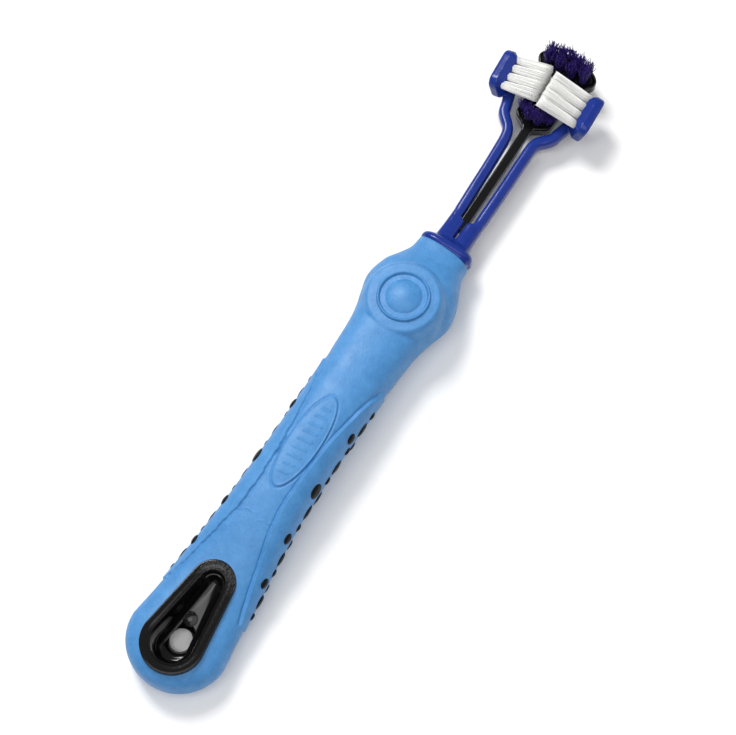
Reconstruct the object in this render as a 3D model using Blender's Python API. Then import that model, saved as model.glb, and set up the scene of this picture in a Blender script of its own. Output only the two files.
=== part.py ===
"""Three-headed pet toothbrush: a soft grip on a black core, a forked neck with two facing
brush heads, and a third head on a stem between them.

Metres, +Z up. The brush lies on its back: +X runs along the handle to the heads, +Y is the
left side as seen from the front with the heads up, and +Z is the front, where the bristles
are. The origin is on the resting plane, below the middle of the length.
"""

from math import acos, copysign, cos, pi, radians, sin, sqrt

import bmesh
import bpy
from mathutils import Matrix, Vector

MM = 0.001
GAP = 0.3 * MM  # clearance left between two pieces that touch

# Overall
BUTT_X = -107.6 * MM
TIP_X = 107.6 * MM

# Soft grip: the round butt, then half width, underside and top at each station
LOBE_X = -94.0 * MM
GRIP_FRONT_X = 36.0 * MM
GRIP_STATIONS = [
    (-94.0, 14.1, -0.5, 13.0),
    (-86.0, 13.0, -0.5, 13.0),
    (-77.0, 12.0, 0.0, 13.1),
    (-70.0, 11.2, 0.9, 14.1),
    (-60.0, 10.2, 2.0, 16.3),
    (-48.0, 9.5, 2.7, 17.9),
    (-32.0, 9.2, 3.0, 18.6),
    (-16.0, 9.4, 2.6, 18.2),
    (-5.0, 9.8, 1.9, 17.9),
    (5.0, 10.4, 0.9, 17.9),
    (10.5, 11.5, 0.1, 18.1),
    (17.8, 13.4, -0.4, 18.3),
    (24.2, 12.1, 0.2, 17.4),
    (28.5, 9.9, 1.4, 15.7),
    (32.0, 8.4, 2.3, 14.4),
    (36.0, 8.1, 2.6, 13.9),
]
GRIP_SQUARENESS = 2.5
THUMB_X = 15.3 * MM
THUMB_TOP = 18.8 * MM
THUMB_ROOT = 15.0 * MM  # where the thumb rest starts, inside the grip
THUMB_DIP = 0.3 * MM  # depth of the dished middle below the plateau
PLATEAU_R = 10.2 * MM
PLATEAU_TOP_R = 9.4 * MM
THUMB_RING_R = (6.3 * MM, 7.4 * MM)
THUMB_RING_TOP = 19.5 * MM

# Black core that runs through the grip
CORE_X = (-74.0 * MM, 23.8 * MM)
CORE_HALF_WIDTH = 4.2 * MM
CORE_HALF_HEIGHT = 3.6 * MM
TONGUE_TIP_X = 32.0 * MM
TONGUE_HALF = (2.2 * MM, 2.3 * MM)
TONGUE_Z = 8.2 * MM
CORE_SQUARENESS = 4.0

# Hang dish in the butt: an egg outline from two circles, a recess and a hanging hole
DISH_SMALL = (-77.4 * MM, 6.1 * MM)
DISH_LARGE = (-96.0 * MM, 8.7 * MM)
DISH_TOP = 13.4 * MM
DISH_BASE = 2.8 * MM
DISH_WALL = 2.7 * MM
DISH_DRAFT = 0.8 * MM
DISH_FLOOR = (9.0 * MM, 5.2 * MM)  # at the small end, at the hole
HANG_HOLE_X = -93.6 * MM
HANG_HOLE_R = 3.2 * MM
HANG_FLARE_R = 4.4 * MM  # of the hole at the underside
HANG_FLARE_TOP = 3.0 * MM
HANG_BOSS_R = 5.6 * MM
HANG_BOSS_BASE = 0.3 * MM

# Studs on the sides of the grip: x, length, width, all in millimetres
STUD_PROUD = 1.0 * MM
STUD_ROOT = 7.0 * MM
STUD_TAPER = 0.8
STUD_SIDES = 10
MID_STUDS = [
    (-15.8, 2.6, 2.0),
    (-20.5, 4.8, 3.0),
    (-27.8, 2.6, 2.0),
    (-33.2, 4.8, 3.0),
    (-37.6, 2.6, 2.0),
    (-47.7, 4.8, 3.0),
    (-52.4, 2.6, 2.0),
    (-62.1, 4.8, 3.0),
    (-65.9, 2.6, 2.0),
    (-74.4, 4.8, 2.8),
    (-78.4, 2.4, 1.8),
]
OUTER_STUDS = [
    (-25.2, 3.4, 2.8),
    (-42.4, 4.8, 3.8),
    (-57.0, 3.4, 2.8),
    (-69.9, 3.2, 2.6),
]
OUTER_STUD_ANGLE = 18.0  # degrees round the section, above and below the middle row

# Fork collar: x, half width, underside and top at each station
COLLAR_STATIONS = [
    (24.4, 6.0, 4.4, 12.0),
    (36.3, 6.0, 4.4, 12.0),
    (36.31, 8.1, 2.8, 13.6),
    (37.3, 7.8, 3.0, 13.2),
    (39.0, 6.5, 3.6, 11.8),
    (40.4, 5.3, 4.2, 10.2),
    (47.8, 5.0, 4.6, 9.2),
]
COLLAR_SQUARENESS = 4.0
SLIT_WIDTH = 0.5 * MM
SLIT_DEPTH = 1.0 * MM
SLIT_BACK_X = 40.6 * MM

# Fork arms and the side heads at their ends
ARM_ROOT = (48.5 * MM, 3.45 * MM, 6.8 * MM)  # the flex axis of the left arm
ARM_HALF_WIDTH = 1.55 * MM
ARM_HALF_HEIGHT = 2.1 * MM
ARM_SQUARENESS = 3.0
ARM_SPLAY = {"left": 1.3, "right": 0.2}  # degrees outward, as moulded
ARM_PATH = [
    (48.5, 3.45),
    (60.0, 3.5),
    (72.0, 3.55),
    (76.8, 3.75),
    (79.0, 4.6),
    (80.7, 6.2),
    (82.3, 7.5),
    (84.4, 8.1),
    (88.5, 9.2),
    (95.0, 11.0),
]
HEAD_CENTRE = (91.7 * MM, 10.4 * MM, 10.9 * MM)  # middle of the left head's bristle face
HEAD_LENGTH = 13.0 * MM
HEAD_HEIGHT = 9.0 * MM
HEAD_THICKNESS = 4.4 * MM
HEAD_CORNER = 2.8 * MM
HEAD_BEVEL = 1.2 * MM  # round the bristle face
HEAD_SOFT = 0.6 * MM  # round the back
HEAD_LEAN = 15.0  # degrees that the bristle face looks upward
HEAD_YAW = {1: 3.0, -1: -3.0}  # by side: degrees that the bristle face looks towards the tip
SIDE_PITCH = 2.95 * MM
TOP_ROW = 1.9 * MM
LOW_ROW = -1.2 * MM
# free length outside the face; the right head's tufts are cut longer
SIDE_TUFT_LENGTH = {
    "left": {"top": 10.1 * MM, "low": 9.7 * MM},
    "right": {"top": 11.6 * MM, "low": 11.2 * MM},
}
SIDE_TUFT_R = (1.05 * MM, 1.38 * MM)
SIDE_HOLE = (1.35 * MM, 2.5 * MM)

# Centre prong: stem, flare, deck and oval end, with the flex axis at its root
STEM_ROOT = (45.8 * MM, 0.0, 6.7 * MM)
STEM_HALF_WIDTH = 1.25 * MM
PRONG_Z = (5.1 * MM, 8.3 * MM)
STEM_KNUCKLE_R = 1.6 * MM
FLARE = [(80.0, 1.25), (81.0, 1.6), (82.0, 2.9), (83.0, 4.6), (84.2, 5.5), (85.4, 5.65)]
DECK_END_X = 97.6 * MM
OVAL_CENTRE_X = 103.2 * MM
OVAL_HALF = (4.4 * MM, 9.3 * MM)
CENTRE_TUFT_R = (0.85 * MM, 1.05 * MM)
CENTRE_HOLE = (1.15 * MM, 2.5 * MM)
# name of the row, x, curve of the row, places across, free height
CENTRE_ROWS = [
    ("far", 105.0, -0.02, (-5.8, -2.9, 0.0, 2.9, 5.8), 7.0),
    ("mid", 101.4, 0.02, (-5.7, -1.9, 1.9, 5.7), 7.0),
    ("near", 85.9, 0.0, (-4.0, 4.0), 3.4),
    ("front", 84.1, 0.0, (-1.4, 1.4), 5.6),
]

# Metal anchors that hold each folded tuft in its hole
ANCHOR = (1.7 * MM, 0.3 * MM, 0.7 * MM)

ROUND = 24  # sides of a large round piece
SMALL_ROUND = 12  # sides of a tuft or a hole
RING_POINTS = 28  # points round a grip section
GRIP_STEPS = 34  # sections along the grip in front of the butt
CORE_STEPS = 12  # sections along the core
CORNER_STEPS = 4  # steps round each corner of a head
CUTTER_REACH = 20 * MM  # a cutter's height where it only has to clear the part

COLOURS = {
    "soft_blue": ((0.15, 0.36, 0.76, 1.0), 0.6, 0.0),
    "fork_blue": ((0.015, 0.04, 0.32, 1.0), 0.25, 0.0),
    "black_plastic": ((0.008, 0.008, 0.009, 1.0), 0.2, 0.0),
    "white_nylon": ((0.85, 0.85, 0.82, 1.0), 0.45, 0.0),
    "violet_nylon": ((0.03, 0.012, 0.17, 1.0), 0.5, 0.0),
    "brass": ((0.7, 0.5, 0.2, 1.0), 0.3, 1.0),
}


def clear_scene():
    for obj in list(bpy.data.objects):
        bpy.data.objects.remove(obj, do_unlink=True)


def make_collection(name):
    collection = bpy.data.collections.new(name)
    bpy.context.scene.collection.children.link(collection)
    return collection


def make_materials():
    materials = {}
    for name, (colour, roughness, metallic) in COLOURS.items():
        material = bpy.data.materials.new(name)
        material.use_nodes = True
        shader = material.node_tree.nodes["Principled BSDF"]
        shader.inputs["Base Color"].default_value = colour
        shader.inputs["Roughness"].default_value = roughness
        shader.inputs["Metallic"].default_value = metallic
        materials[name] = material
    return materials


clear_scene()
PARTS = make_collection("pet_toothbrush")
CUTTERS = make_collection("cutters")
MATERIALS = make_materials()


def add_object(name, mesh, material=None, parent=None, smooth_angle=40.0):
    """A shown part when it has a material, and otherwise a hidden cutter."""
    obj = bpy.data.objects.new(name, mesh)
    obj.parent = parent
    if material:
        mesh.materials.append(MATERIALS[material])
        mesh.shade_smooth()
        mesh.set_sharp_from_angle(angle=radians(smooth_angle))
        PARTS.objects.link(obj)
    else:
        obj.hide_render = True
        obj.display_type = "WIRE"
        CUTTERS.objects.link(obj)
    return obj


def add_pivot(name, place, turn=0.0):
    """An empty on a flex axis, which carries the pieces that turn about it."""
    pivot = bpy.data.objects.new(name, None)
    pivot.location = place
    pivot.rotation_euler = (0.0, 0.0, turn)
    PARTS.objects.link(pivot)
    return pivot


def boolean(obj, operation, other, crossing=False):
    """A Boolean modifier; crossing says that the other mesh's bodies run into each other."""
    modifier = obj.modifiers.new(operation.lower(), "BOOLEAN")
    modifier.operation = operation
    modifier.solver = "EXACT"
    modifier.use_self = crossing
    modifier.object = other


def loft(name, rings):
    """A closed mesh through rings that all have the same number of points."""
    mesh = bpy.data.meshes.new(name)
    bm = bmesh.new()
    made = [[bm.verts.new(point) for point in ring] for ring in rings]
    count = len(made[0])
    for first, second in zip(made, made[1:]):
        for i in range(count):
            j = (i + 1) % count
            bm.faces.new((first[i], first[j], second[j], second[i]))
    bm.faces.new(made[0])
    bm.faces.new(made[-1])
    bmesh.ops.recalc_face_normals(bm, faces=bm.faces)
    bm.to_mesh(mesh)
    bm.free()
    return mesh


def merged(name, pieces):
    """One mesh from (primitive, matrix) pairs, each kept as a body of its own."""
    mesh = bpy.data.meshes.new(name)
    bm = bmesh.new()
    for make, matrix in pieces:
        before = set(bm.verts)
        make(bm)
        added = [vert for vert in bm.verts if vert not in before]
        bmesh.ops.transform(bm, matrix=matrix, verts=added)
    bm.to_mesh(mesh)
    bm.free()
    return mesh


def box(size):
    def make(bm):
        bmesh.ops.create_cube(bm, size=1.0, matrix=Matrix.Diagonal((*size, 1.0)))

    return make


def cone(radius, end_radius, start, end, sides=SMALL_ROUND):
    """A round primitive along Z from start to end."""

    def make(bm):
        bmesh.ops.create_cone(
            bm,
            cap_ends=True,
            segments=sides,
            radius1=radius,
            radius2=end_radius,
            depth=end - start,
            matrix=Matrix.Translation((0.0, 0.0, (start + end) / 2)),
        )

    return make


def cylinder(radius, start, end, sides=SMALL_ROUND):
    return cone(radius, radius, start, end, sides)


def place(x, y, z):
    return Matrix.Translation((x, y, z))


def rounded_section(x, half_width, low, high, squareness, count=RING_POINTS):
    """A superellipse across the handle, cut flat where it would pass below the resting plane."""
    middle = (low + high) / 2
    half_height = (high - low) / 2
    ring = []
    for i in range(count):
        angle = 2 * pi * (i + 0.5) / count
        across = copysign(abs(cos(angle)) ** (2 / squareness), cos(angle))
        up = copysign(abs(sin(angle)) ** (2 / squareness), sin(angle))
        ring.append(Vector((x, half_width * across, max(middle + half_height * up, 0.0))))
    return ring


def along(stations, x):
    """Half width, underside and top at x in metres, on a smooth curve through the stations."""
    xs = [station[0] * MM for station in stations]
    i = max(1, min(len(xs) - 1, next((k for k, sx in enumerate(xs) if sx >= x), len(xs) - 1)))
    t = min(max((x - xs[i - 1]) / (xs[i] - xs[i - 1]), 0.0), 1.0)
    values = []
    for column in (1, 2, 3):
        v = [station[column] * MM for station in stations]

        def slope(k):
            a, b = max(k - 1, 0), min(k + 1, len(xs) - 1)
            return (v[b] - v[a]) / (xs[b] - xs[a])

        span = xs[i] - xs[i - 1]
        values.append(
            v[i - 1] * (1 + 2 * t) * (1 - t) ** 2
            + v[i] * t * t * (3 - 2 * t)
            + span * slope(i - 1) * t * (1 - t) ** 2
            - span * slope(i) * t * t * (1 - t)
        )
    return values


def grip_section(x):
    """Half width, underside and top of the grip, which closes in an ellipse at the butt."""
    half_width, low, high = along(GRIP_STATIONS, max(x, LOBE_X))
    if x < LOBE_X:
        reach = (LOBE_X - x) / (LOBE_X - BUTT_X)
        middle = (low + high) / 2
        half_width *= sqrt(1 - reach**2)
        shrink = (1 - reach**3.2) ** (1 / 3.2)
        low, high = middle + (low - middle) * shrink, middle + (high - middle) * shrink
    return half_width, low, high


def egg(inset, count=16):
    """The dish's outline: an arc round each of two circles, joined by straight sides."""
    (small_x, small_r), (large_x, large_r) = DISH_SMALL, DISH_LARGE
    tangent = acos((large_r - small_r) / (small_x - large_x))
    outline = []
    for centre, radius, start, end in (
        (small_x, small_r - inset, -tangent, tangent),
        (large_x, large_r - inset, tangent, 2 * pi - tangent),
    ):
        for i in range(count):
            angle = start + (end - start) * i / (count - 1)
            outline.append((centre + radius * cos(angle), radius * sin(angle)))
    return outline


def level(outline, height):
    return [Vector((x, y, height)) for x, y in outline]


# Hang dish ------------------------------------------------------------------------------------


def hole_cutter(name, radius):
    """A round cutter through the whole butt at the hanging hole."""
    shaft = cylinder(radius, -CUTTER_REACH, CUTTER_REACH, ROUND)
    return add_object(name, merged(name, [(shaft, place(HANG_HOLE_X, 0, 0))]))


def hole_flare():
    """The widening of the hanging hole towards the underside."""
    widest = HANG_FLARE_R + (HANG_FLARE_R - HANG_HOLE_R)
    low = 2 * HANG_BOSS_BASE - HANG_FLARE_TOP
    flare = cone(widest, HANG_HOLE_R, low, HANG_FLARE_TOP, ROUND)
    shape = merged("hang_hole_flare", [(flare, place(HANG_HOLE_X, 0, 0))])
    return add_object("hang_hole_flare", shape)


def dish_solid():
    return loft("dish_wall", [level(egg(0.0), DISH_BASE), level(egg(0.0), DISH_TOP)])


def dish_recess():
    """The hollow of the dish: its floor slopes down from the small end to the hanging hole."""
    floor_high, floor_low = DISH_FLOOR
    slope_span = DISH_SMALL[0] - HANG_HOLE_X
    floor = []
    for x, y in egg(DISH_WALL + DISH_DRAFT):
        rise = min(max((x - HANG_HOLE_X) / slope_span, 0.0), 1.0)
        floor.append(Vector((x, y, floor_low + (floor_high - floor_low) * rise)))
    return loft("dish_recess", [floor, level(egg(DISH_WALL), DISH_TOP + 1 * MM)])


# Core -----------------------------------------------------------------------------------------


def core_rings(extra):
    """The core's bar, or its cavity in the grip when extra is the clearance."""
    rings = []
    start, end = CORE_X[0] - extra, CORE_X[1] + extra
    for i in range(CORE_STEPS + 1):
        x = start + (end - start) * i / CORE_STEPS
        _, low, high = grip_section(x)
        middle = (low + high) / 2
        half_height = CORE_HALF_HEIGHT + extra
        rings.append(
            rounded_section(
                x,
                CORE_HALF_WIDTH + extra,
                middle - half_height,
                middle + half_height,
                CORE_SQUARENESS,
                SMALL_ROUND,
            )
        )
    return rings


def tongue(extra):
    start, end = CORE_X[1] - 2 * MM, TONGUE_TIP_X + extra
    half_y, half_z = TONGUE_HALF
    size = (end - start, 2 * (half_y + extra), 2 * (half_z + extra))
    return [(box(size), place((start + end) / 2, 0, TONGUE_Z))]


def stud_frames(side):
    """Where each stud stands on one side: a matrix whose Z leaves the grip, and its half sizes."""
    frames = []
    rows = [(row, 0.0) for row in MID_STUDS]
    rows += [(row, sign * OUTER_STUD_ANGLE) for row in OUTER_STUDS for sign in (1, -1)]
    power = 2 / GRIP_SQUARENESS
    for (x, length, width), angle in rows:
        half_width, low, high = grip_section(x * MM)
        turn = radians(angle)
        y = half_width * cos(turn) ** power
        z = (low + high) / 2 + copysign((high - low) / 2 * abs(sin(turn)) ** power, angle)
        outward = Vector((0.0, side * cos(turn), sin(turn)))
        lengthwise = Vector((1.0, 0.0, 0.0))
        matrix = Matrix((lengthwise, outward.cross(lengthwise), outward)).transposed().to_4x4()
        matrix.translation = Vector((x * MM, side * y, z))
        frames.append((matrix, length * MM / 2, width * MM / 2))
    return frames


def stud_pieces(side, extra):
    """Oval studs, or their holes in the grip when extra is the clearance."""
    pieces = []
    crown = STUD_PROUD if extra == 0 else 4 * MM
    taper = STUD_TAPER if extra == 0 else 1.0
    for matrix, half_length, half_width in stud_frames(side):
        spread = Matrix.Diagonal((half_length + extra, half_width + extra, 1.0, 1.0))
        pieces.append((cone(1.0, taper, -STUD_ROOT, crown, STUD_SIDES), matrix @ spread))
    return pieces


def make_core():
    core = add_object("handle_core", loft("handle_core", core_rings(0.0)), "black_plastic")
    boolean(core, "UNION", add_object("core_tongue", merged("core_tongue", tongue(0.0))))
    boolean(core, "UNION", add_object("dish_wall", dish_solid()))
    boss = cylinder(HANG_BOSS_R, HANG_BOSS_BASE, DISH_BASE + 1 * MM, ROUND)
    boss_mesh = merged("dish_boss", [(boss, place(HANG_HOLE_X, 0, 0))])
    boolean(core, "UNION", add_object("dish_boss", boss_mesh))
    for name, side in (("left_studs", 1), ("right_studs", -1)):
        studs = add_object(name, merged(name, stud_pieces(side, 0.0)))
        boolean(core, "UNION", studs, crossing=True)
    boolean(core, "DIFFERENCE", add_object("dish_recess", dish_recess()))
    boolean(core, "DIFFERENCE", hole_cutter("hang_hole", HANG_HOLE_R))
    boolean(core, "DIFFERENCE", hole_flare())
    return core


# Grip -----------------------------------------------------------------------------------------


def make_grip():
    butt_angles = [86, 80, 70, 58, 45, 30, 15]
    xs = [LOBE_X - (LOBE_X - BUTT_X) * sin(radians(angle)) for angle in butt_angles]
    xs[0] = BUTT_X
    length = GRIP_FRONT_X - LOBE_X
    xs += [LOBE_X + length * i / GRIP_STEPS for i in range(GRIP_STEPS + 1)]
    rings = []
    for x in xs:
        section = grip_section(max(x, BUTT_X + 0.02 * MM))
        rings.append(rounded_section(x, *section, GRIP_SQUARENESS))
    grip = add_object("grip_sleeve", loft("grip_sleeve", rings), "soft_blue")
    inner, outer = THUMB_RING_R
    thumb = place(THUMB_X, 0, 0)
    plateau = cone(PLATEAU_R, PLATEAU_TOP_R, THUMB_ROOT, THUMB_TOP, ROUND)
    ring = cylinder(outer, THUMB_ROOT, THUMB_RING_TOP, ROUND)
    dip = cylinder(inner, THUMB_TOP - THUMB_DIP, CUTTER_REACH, ROUND)
    for name, operation, shape in (
        ("thumb_plateau", "UNION", plateau),
        ("thumb_ring", "UNION", ring),
        ("thumb_dip", "DIFFERENCE", dip),
    ):
        boolean(grip, operation, add_object(name, merged(name, [(shape, thumb)])))
    cavity = add_object("core_cavity", loft("core_cavity", core_rings(GAP)))
    boolean(grip, "DIFFERENCE", cavity)
    pocket = loft(
        "dish_pocket",
        [level(egg(-GAP), DISH_BASE - GAP), level(egg(-GAP), CUTTER_REACH)],
    )
    boolean(grip, "DIFFERENCE", add_object("dish_pocket", pocket))
    boolean(grip, "DIFFERENCE", hole_cutter("dish_boss_hole", HANG_BOSS_R + GAP))
    plug_x, plug_half, plug_low, plug_high = (value * MM for value in COLLAR_STATIONS[0])
    socket = loft(
        "collar_socket",
        [
            rounded_section(
                x,
                plug_half + GAP,
                plug_low - GAP,
                plug_high + GAP,
                COLLAR_SQUARENESS,
                ROUND,
            )
            for x in (plug_x - GAP, GRIP_FRONT_X + CUTTER_REACH)
        ],
    )
    boolean(grip, "DIFFERENCE", add_object("collar_socket", socket))
    for side_name, side in (("left", 1), ("right", -1)):
        name = f"{side_name}_stud_pockets"
        holes = add_object(name, merged(name, stud_pieces(side, GAP)))
        boolean(grip, "DIFFERENCE", holes, crossing=True)
    return grip


# Fork collar ----------------------------------------------------------------------------------


def make_collar():
    rings = [
        rounded_section(x * MM, half * MM, low * MM, high * MM, COLLAR_SQUARENESS, ROUND)
        for x, half, low, high in COLLAR_STATIONS
    ]
    collar = add_object("fork_collar", loft("fork_collar", rings), "fork_blue")
    socket = add_object("tongue_socket", merged("tongue_socket", tongue(GAP)))
    boolean(collar, "DIFFERENCE", socket)
    root_x, root_y, root_z = ARM_ROOT
    web_x = COLLAR_STATIONS[-1][0] * MM
    notch = cylinder(ARM_HALF_WIDTH + GAP, -CUTTER_REACH, CUTTER_REACH, ROUND)
    stem_back = STEM_ROOT[0] - STEM_KNUCKLE_R - GAP
    past_web = web_x + CUTTER_REACH
    pocket_half_z = STEM_KNUCKLE_R + GAP
    pocket_size = (past_web - stem_back, 2 * (STEM_HALF_WIDTH + GAP), 2 * pocket_half_z)
    web_top = COLLAR_STATIONS[-1][3] * MM
    slit_low = web_top - SLIT_DEPTH
    slit_size = (past_web - SLIT_BACK_X, SLIT_WIDTH, CUTTER_REACH - slit_low)
    cuts = [
        (notch, place(root_x, root_y, root_z)),
        (notch, place(root_x, -root_y, root_z)),
        (box(pocket_size), place(stem_back + pocket_size[0] / 2, 0, STEM_ROOT[2])),
    ]
    boolean(collar, "DIFFERENCE", add_object("collar_cuts", merged("collar_cuts", cuts)))
    slit_middle = place(SLIT_BACK_X + slit_size[0] / 2, 0, slit_low + slit_size[2] / 2)
    slit = merged("web_slit", [(box(slit_size), slit_middle)])
    boolean(collar, "DIFFERENCE", add_object("web_slit", slit))
    return collar


# Fork arms and side heads ---------------------------------------------------------------------


def arm_rings(side):
    """Sections across the arm's path, about the arm's own flex axis."""
    root = Vector(ARM_ROOT)
    points = [Vector((x * MM, y * MM, root.z)) - root for x, y in ARM_PATH]
    low, high = 0.0, 2 * ARM_HALF_HEIGHT
    section = rounded_section(0.0, ARM_HALF_WIDTH, low, high, ARM_SQUARENESS, SMALL_ROUND)
    rings = []
    for i, point in enumerate(points):
        ahead = points[min(i + 1, len(points) - 1)] - points[max(i - 1, 0)]
        across = Vector((-ahead.y, ahead.x, 0.0)).normalized()
        ring = []
        for vert in section:
            spot = point + across * vert.y
            ring.append(Vector((spot.x, side * spot.y, vert.z - ARM_HALF_HEIGHT)))
        rings.append(ring)
    return rings


def head_frame(side):
    """The bristle face of a side head: X along the head, Y up the face, Z out of it."""
    lean = radians(HEAD_LEAN)
    up = Vector((0.0, side * sin(lean), cos(lean)))
    out = Vector((0.0, -side * cos(lean), sin(lean)))
    matrix = Matrix((up.cross(out), up, out)).transposed().to_4x4()
    x, y, z = HEAD_CENTRE
    root_x, root_y, root_z = ARM_ROOT
    yaw = Matrix.Rotation(side * radians(HEAD_YAW[side]), 4, "Z")
    return place(x - root_x, side * (y - root_y), z - root_z) @ yaw @ matrix


def head_block(side):
    """A plate with round corners behind the bristle face."""
    corner, half_x, half_y = HEAD_CORNER, HEAD_LENGTH / 2, HEAD_HEIGHT / 2
    outline = []
    for turn, sx, sy in ((0, 1, 1), (90, -1, 1), (180, -1, -1), (270, 1, -1)):
        for step in range(CORNER_STEPS + 1):
            angle = radians(turn + 90 * step / CORNER_STEPS)
            x = sx * (half_x - corner) + corner * cos(angle)
            y = sy * (half_y - corner) + corner * sin(angle)
            outline.append((x, y))
    matrix = head_frame(side)
    profile = (
        (0.0, HEAD_BEVEL),
        (-HEAD_BEVEL, 0.0),
        (HEAD_SOFT - HEAD_THICKNESS, 0.0),
        (-HEAD_THICKNESS, HEAD_SOFT),
    )
    rings = []
    for depth, inset in profile:
        shrink_x, shrink_y = 1 - inset / half_x, 1 - inset / half_y
        rings.append([matrix @ Vector((x * shrink_x, y * shrink_y, depth)) for x, y in outline])
    return rings


def side_tuft_places():
    """Name and place on the bristle face: four tufts above, three between them below."""
    top = [(f"top_{i + 1}", (i - 1.5) * SIDE_PITCH, TOP_ROW) for i in range(4)]
    low = [(f"low_{i + 1}", (i - 1) * SIDE_PITCH, LOW_ROW) for i in range(3)]
    return top + low


def make_side_arm(name, side):
    root_x, root_y, root_z = ARM_ROOT
    splay = side * radians(ARM_SPLAY[name])
    pivot = add_pivot(f"{name}_arm_pivot", (root_x, side * root_y, root_z), splay)
    arm = add_object(f"{name}_arm", loft(f"{name}_arm", arm_rings(side)), "fork_blue", pivot)
    knuckle_shape = cylinder(ARM_HALF_WIDTH, -ARM_HALF_HEIGHT, ARM_HALF_HEIGHT, ROUND)
    knuckle = merged(f"{name}_knuckle", [(knuckle_shape, Matrix.Identity(4))])
    boolean(arm, "UNION", add_object(f"{name}_knuckle", knuckle, parent=pivot))
    block = loft(f"{name}_head_block", head_block(side))
    boolean(arm, "UNION", add_object(f"{name}_head_block", block, parent=pivot))
    frame = head_frame(side)
    radius, depth = SIDE_HOLE
    spots = [(label, frame @ place(x, y, 0.0)) for label, x, y in side_tuft_places()]
    holes = [(cylinder(radius, -depth, 2 * MM), spot) for _, spot in spots]
    holes_mesh = merged(f"{name}_tuft_holes", holes)
    boolean(arm, "DIFFERENCE", add_object(f"{name}_tuft_holes", holes_mesh, parent=pivot))
    for label, spot in spots:
        length = SIDE_TUFT_LENGTH[name][label[:3]]
        make_tuft(name, label, spot, SIDE_TUFT_R, depth, length, "white_nylon", pivot)


def tuft_root(depth):
    """Depth of a tuft's folded end, just above its anchor."""
    return -depth + GAP + ANCHOR[2] + GAP


def make_tuft(head, label, spot, radii, depth, height, material, pivot):
    """A tuft in its hole, and the anchor that holds its fold at the bottom."""
    name = f"{head}_tuft_{label}"
    tuft = cone(*radii, tuft_root(depth), height)
    add_object(name, merged(name, [(tuft, spot)]), material, pivot)
    anchor_name = f"{head}_anchor_{label}"
    middle = -depth + GAP + ANCHOR[2] / 2
    anchor = merged(anchor_name, [(box(ANCHOR), spot @ place(0, 0, middle))])
    add_object(anchor_name, anchor, "brass", pivot)


# Centre prong ---------------------------------------------------------------------------------


def prong_outline():
    """The left half of the plan from root to tip, then the right half back."""
    half = [(STEM_ROOT[0], STEM_HALF_WIDTH)]
    half += [(x * MM, y * MM) for x, y in FLARE]
    deck_half = FLARE[-1][1] * MM
    half.append((DECK_END_X, deck_half))
    half_x, half_y = OVAL_HALF
    start = pi - 0.35 * pi
    for i in range(10):
        angle = start * (1 - i / 10)
        half.append((OVAL_CENTRE_X + half_x * cos(angle), half_y * sin(angle)))
    tip = [(TIP_X, 0.0)]
    return half + tip + [(x, -y) for x, y in reversed(half)]


def make_centre_prong():
    root = Vector(STEM_ROOT)
    pivot = add_pivot("centre_prong_pivot", STEM_ROOT)
    rings = [[v - root for v in level(prong_outline(), height)] for height in PRONG_Z]
    prong = add_object("centre_prong", loft("centre_prong", rings), "black_plastic", pivot)
    knuckle_shape = cylinder(STEM_KNUCKLE_R, -STEM_HALF_WIDTH, STEM_HALF_WIDTH, ROUND)
    knuckle = merged("stem_knuckle", [(knuckle_shape, Matrix.Rotation(pi / 2, 4, "X"))])
    boolean(prong, "UNION", add_object("stem_knuckle", knuckle, parent=pivot))
    radius, depth = CENTRE_HOLE
    spots = []
    for row, row_x, curve, places, height in CENTRE_ROWS:
        for i, y in enumerate(places):
            x = row_x + curve * y * y
            spot = place(x * MM - root.x, y * MM - root.y, PRONG_Z[1] - root.z)
            spots.append((f"{row}_{i + 1}", spot, height * MM))
    holes = [(cylinder(radius, -depth, 2 * MM), spot) for _, spot, _ in spots]
    holes_mesh = merged("centre_tuft_holes", holes)
    boolean(prong, "DIFFERENCE", add_object("centre_tuft_holes", holes_mesh, parent=pivot))
    for label, spot, height in spots:
        make_tuft("centre", label, spot, CENTRE_TUFT_R, depth, height, "violet_nylon", pivot)


make_core()
make_grip()
make_collar()
make_side_arm("left", 1)
make_side_arm("right", -1)
make_centre_prong()
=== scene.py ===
"""Looks of the three-headed pet toothbrush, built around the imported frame.

Metres, +Z up, in the frame's own axes: +X runs from the butt to the heads, +Y is the left side
and +Z is the bristle side. The outer form repeats the driving sizes of the CAD part and adds
what it leaves out: fillets, raised grip pads, the label, domed studs and bristles.
"""

from math import acos, atan2, copysign, cos, pi, radians, sin, sqrt

import bmesh
import bpy
import numpy as np
from mathutils import Matrix, Vector


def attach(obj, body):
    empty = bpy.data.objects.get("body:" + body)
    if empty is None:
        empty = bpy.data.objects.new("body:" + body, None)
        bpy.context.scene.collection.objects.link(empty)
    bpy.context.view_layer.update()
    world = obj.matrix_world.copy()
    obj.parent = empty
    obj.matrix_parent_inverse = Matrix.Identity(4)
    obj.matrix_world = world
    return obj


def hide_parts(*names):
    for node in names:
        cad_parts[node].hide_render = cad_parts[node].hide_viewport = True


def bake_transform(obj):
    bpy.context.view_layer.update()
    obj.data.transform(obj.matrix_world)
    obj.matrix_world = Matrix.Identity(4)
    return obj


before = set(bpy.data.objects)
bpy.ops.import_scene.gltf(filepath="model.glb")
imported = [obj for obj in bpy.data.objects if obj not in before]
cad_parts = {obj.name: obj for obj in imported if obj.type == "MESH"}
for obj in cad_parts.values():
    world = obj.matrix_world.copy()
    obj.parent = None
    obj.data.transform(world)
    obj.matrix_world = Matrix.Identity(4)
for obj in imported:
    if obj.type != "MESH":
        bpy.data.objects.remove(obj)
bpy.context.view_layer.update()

MM = 0.001

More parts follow.
